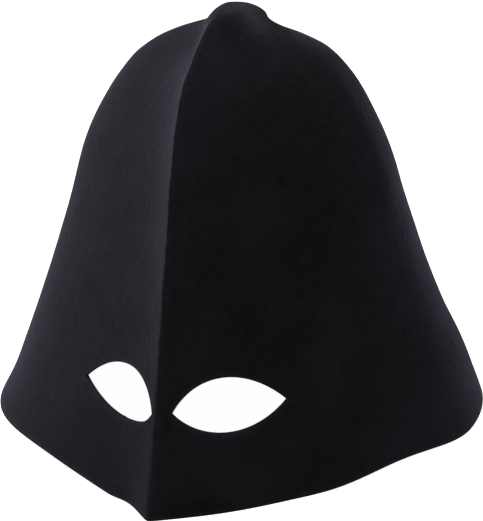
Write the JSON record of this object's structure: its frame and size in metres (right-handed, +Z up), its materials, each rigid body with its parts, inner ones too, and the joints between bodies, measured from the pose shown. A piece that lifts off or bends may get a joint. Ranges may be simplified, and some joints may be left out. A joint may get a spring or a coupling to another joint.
{
  "type": "felt hat with eye holes",
  "caption": "One-piece bell-shaped felt hood with a sharp front crease running over a small nub and two almond eye holes",
  "frame": {"origin": "middle of the bounding box, on the surface that the hem rests on", "axes": "+X to the side of the straighter eye hole, +Y from the front crease to the back, +Z up to the nub"},
  "size_m": [0.254, 0.2584, 0.215],
  "materials": {
    "felt": "matte black wool felt with a faint bluish fuzz sheen, cut edges unbound"
  },
  "bodies": {
    "root": {"felt_hood": "felt"}
  },
  "joints": []
}
